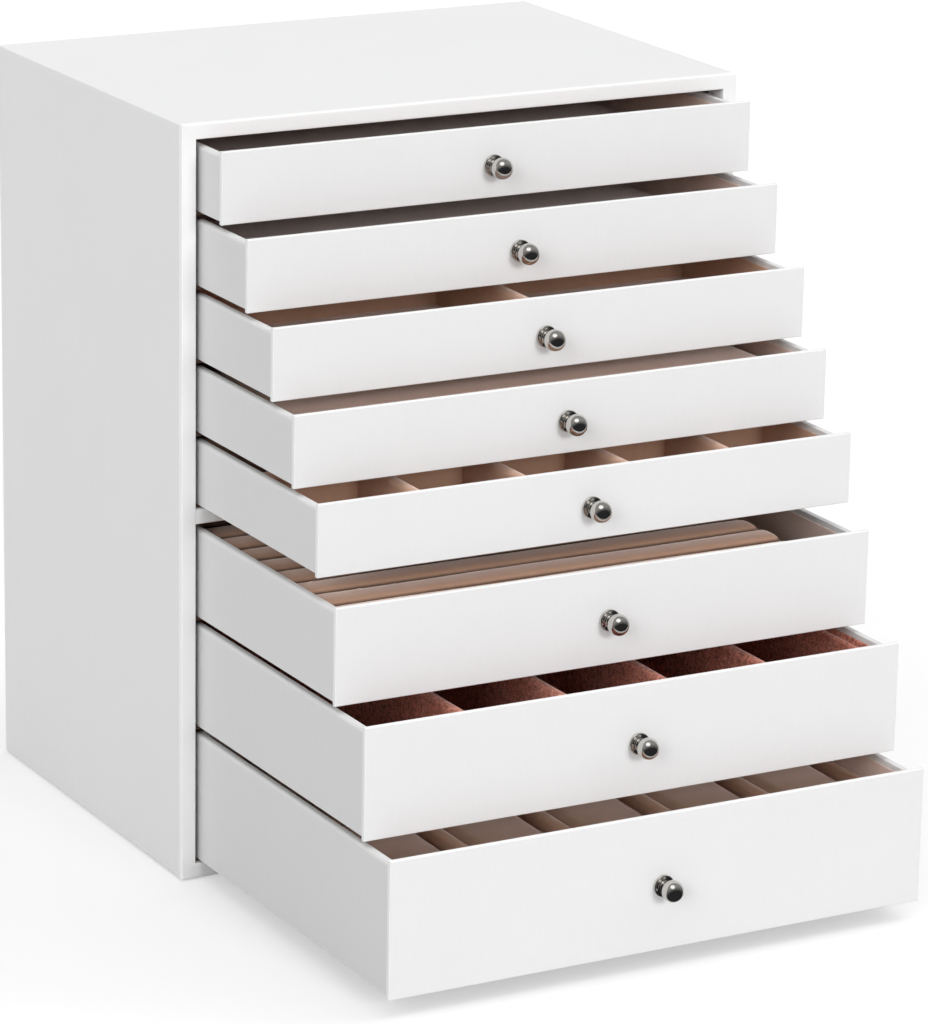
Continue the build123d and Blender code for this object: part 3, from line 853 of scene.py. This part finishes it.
def makeFrontEdging():
    left, top = corner("cabinet_left_side", 0), corner("cabinet_top", 1)
    bottom = corner("cabinet_bottom", 0)
    panel = top[2] - corner("cabinet_top", 0)[2]
    halfX, y0 = corner("cabinet_right_side", 1)[0], left[1]
    middleZ, halfZ = (top[2] + bottom[2]) / 2, (top[2] - bottom[2]) / 2
    section = frontSection(panel)
    inward, back = section[:, 0], section[:, 1]
    sides = {"top": (0, 1, halfX, halfZ), "bottom": (0, -1, halfX, halfZ),
             "left": (1, -1, halfZ, halfX), "right": (1, 1, halfZ, halfX)}
    for name, (upright, sign, run, reach) in sides.items():
        length = run - inward - edging["mitreGap"]
        along = stripStations()[:, None] * length[None, :]
        off = np.broadcast_to(sign * (reach - inward), along.shape)
        points = np.zeros(along.shape + (3,))
        points[..., 1] = y0 + back
        points[..., 0] = off if upright else along
        points[..., 2] = middleZ + (along if upright else off)
        makePiece(f"front_edging_{name}", [closedRings(points)], edgeWrapPaintedHighlight, "cabinet",
                  sharp=40)


def makeShelfEdging():
    # the same strip round the front edge of the middle shelf, between the two upright strips
    low, high = span("middle_shelf")
    section = frontSection(high[2] - low[2])
    section[:, 1] = np.minimum(section[:, 1], edging["innerLeg"])
    reach = high[0] - edging["proud"] - edging["mitreGap"]
    along = stripStations() * reach
    points = np.zeros((len(along), len(section), 3))
    points[..., 0] = along[:, None]
    points[..., 1] = low[1] + section[:, 1]
    points[..., 2] = high[2] - section[:, 0]
    makePiece("shelf_edging", [closedRings(points)], edgeWrapPaintedHighlight, "cabinet", sharp=40)


def makeOuterWrap():
    # a flat strip section carried along the path left side, top, right side with folded corners
    look = edging
    low, high = corner("cabinet_bottom", 0), corner("cabinet_top", 1)
    z0 = low[2] + look["wrapEnd"]
    y0, y1 = low[1] + look["outerLeg"] + look["seam"], high[1] - look["wrapEnd"]
    fold, halfX, run = look["cornerFold"], corner("cabinet_right_side", 1)[0], look["cornerRun"]
    angle = np.radians(np.linspace(180, 90, 7))
    corners = np.stack([-halfX + fold + fold * np.cos(angle), high[2] - fold + fold * np.sin(angle)], axis=1)
    facing = np.stack([np.cos(angle), np.sin(angle)], axis=1)
    uprights = np.array([z0, z0 + look["wrapStep"], (z0 + high[2]) / 2, high[2] - run])
    leftPath = np.concatenate([np.stack([np.full(4, -halfX), uprights], axis=1), corners,
                               [(run - halfX, high[2]), (0, high[2])]])
    leftFacing = np.concatenate([np.tile([-1.0, 0.0], (4, 1)), facing, np.tile([0.0, 1.0], (2, 1))])
    path = np.concatenate([leftPath, leftPath[-2::-1] * np.array([-1, 1])])
    normal = np.concatenate([leftFacing, leftFacing[-2::-1] * np.array([-1, 1])])
    out, sunk, lip, step = look["proud"], look["buried"], look["wrapLip"], look["wrapStep"]
    section = np.array([(out - lip, y0), (out, y0 + lip), (out, y0 + step), (out, y1 - step),
                        (out, y1 - lip), (out - lip, y1), (-sunk, y1), (-sunk, y0)])
    points = np.zeros((len(path), len(section), 3))
    points[..., 0] = path[:, None, 0] + normal[:, None, 0] * section[None, :, 0]
    points[..., 2] = path[:, None, 1] + normal[:, None, 1] * section[None, :, 0]
    points[..., 1] = section[None, :, 1]
    makePiece("outer_wrap", [closedRings(points)], panelWrap, "cabinet", sharp=40)


makeFrontEdging()
makeShelfEdging()
makeOuterWrap()
print("edging and wrap made")


# CAD pieces that stay, and their finishes
def dress(node, material):
    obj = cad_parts[node]
    if obj.data.materials:
        for index in range(len(obj.data.materials)):
            obj.data.materials[index] = material
    else:
        obj.data.materials.append(material)


for node in ("cabinet_top", "cabinet_bottom", "cabinet_left_side", "cabinet_right_side", "cabinet_back",
             "middle_shelf"):
    dress(node, panelWrap)
for node in ("thin_shelves", "cabinet_lining", "glide_boards"):
    dress(node, brownPaper)
dress("base_felt", darkFelt)
for number in range(1, drawerCount + 1):
    dress(f"drawer_{number}_front", panelWrap)
    dress(f"drawer_{number}_box", boxWrapPaintedShade)
    dress(f"drawer_{number}_screw", zincPlate)
print("CAD pieces dressed")


# Floor, light and world
studio = {
    "floorSize": 30.0,
    "floorColor": (0.54, 0.54, 0.54, 1),
    "floorLift": 0.415,
    # each lamp: where it stands, its share of the light that a white sheet needs, how wide it is, and
    # whether polished metal shows it
    "frontLow": {"azimuth": 3, "elevation": 20, "share": 0.41, "width": 16, "mirrored": False},
    "fill": {"azimuth": -50, "elevation": 22, "share": 0.35, "width": 30, "mirrored": False},
    "key": {"azimuth": -36, "elevation": 66, "share": 0.15, "width": 42, "mirrored": True},
    "leftSide": {"azimuth": -100, "elevation": 28, "share": 0.22, "width": 60, "mirrored": False},
    "rightSide": {"azimuth": 84, "elevation": 30, "share": 0.28, "width": 50, "mirrored": False},
    "overhead": {"azimuth": 84, "elevation": 63, "share": 0.28, "width": 50, "mirrored": False},
    "lampDistance": 3.0,
    "worldDark": (0.03, 0.03, 0.032, 1),
    "worldPale": (0.36, 0.36, 0.36, 1),
    "worldUpShare": 0.9,
    "worldFade": (-0.55, 0.35),
}


def makeFloor():
    half = studio["floorSize"] / 2
    mesh = bpy.data.meshes.new("floor")
    corners = [(-half, -half, 0), (half, -half, 0), (half, half, 0), (-half, half, 0)]
    mesh.from_pydata(corners, [], [(0, 1, 2, 3)])
    floor = bpy.data.objects.new("floor", mesh)
    bpy.context.scene.collection.objects.link(floor)
    material = bpy.data.materials.new("floor")
    material.use_nodes = True
    tree = material.node_tree
    tree.nodes.clear()
    rays = addNode(tree, "ShaderNodeLightPath").outputs
    seen = summed(tree, summed(tree, rays["Is Camera Ray"], rays["Is Glossy Ray"]),
                  rays["Is Transmission Ray"])
    strength = summed(tree, addNode(tree, "ShaderNodeClamp", {"Value": seen}).outputs[0],
                      studio["floorLift"], "MULTIPLY")
    paint = addNode(tree, "ShaderNodeBsdfDiffuse", {"Color": studio["floorColor"]}).outputs[0]
    lift = addNode(tree, "ShaderNodeEmission", {"Strength": strength}).outputs[0]
    both = addNode(tree, "ShaderNodeAddShader", {0: paint, 1: lift}).outputs[0]
    addNode(tree, "ShaderNodeOutputMaterial", {"Surface": both})
    mesh.materials.append(material)
    floor.visible_glossy = False


def makeLamp(name):
    look = studio[name]
    az, el = math.radians(look["azimuth"]), math.radians(look["elevation"])
    towards = Vector((math.sin(az) * math.cos(el), -math.cos(az) * math.cos(el), math.sin(el)))
    data = bpy.data.lights.new(name, "SUN")
    data.energy = look["share"] * math.pi
    data.angle = math.radians(look["width"])
    lamp = bpy.data.objects.new(name, data)
    lamp.location = towards * studio["lampDistance"]
    lamp.rotation_euler = towards.to_track_quat("Z", "Y").to_euler()
    lamp.visible_glossy = look["mirrored"]
    bpy.context.scene.collection.objects.link(lamp)


def makeWorld():
    # pale behind and above the case, dark towards the side that the drawers open to, as in a studio
    world = bpy.data.worlds.new("studio")
    bpy.context.scene.world = world
    world.use_nodes = True
    tree = world.node_tree
    direction = addNode(tree, "ShaderNodeTexCoord").outputs["Generated"]
    parts = addNode(tree, "ShaderNodeSeparateXYZ", {0: direction}).outputs
    upwards = summed(tree, parts["Z"], studio["worldUpShare"], "MULTIPLY")
    share = mapped(tree, summed(tree, parts["Y"], upwards), *studio["worldFade"], 0, 1)
    color = mixColors(tree, share, studio["worldDark"], studio["worldPale"])
    tree.links.new(color, tree.nodes["Background"].inputs["Color"])


makeFloor()
for lampName in ("frontLow", "fill", "key", "leftSide", "rightSide", "overhead"):
    makeLamp(lampName)
makeWorld()
print("floor, lamps and world made")
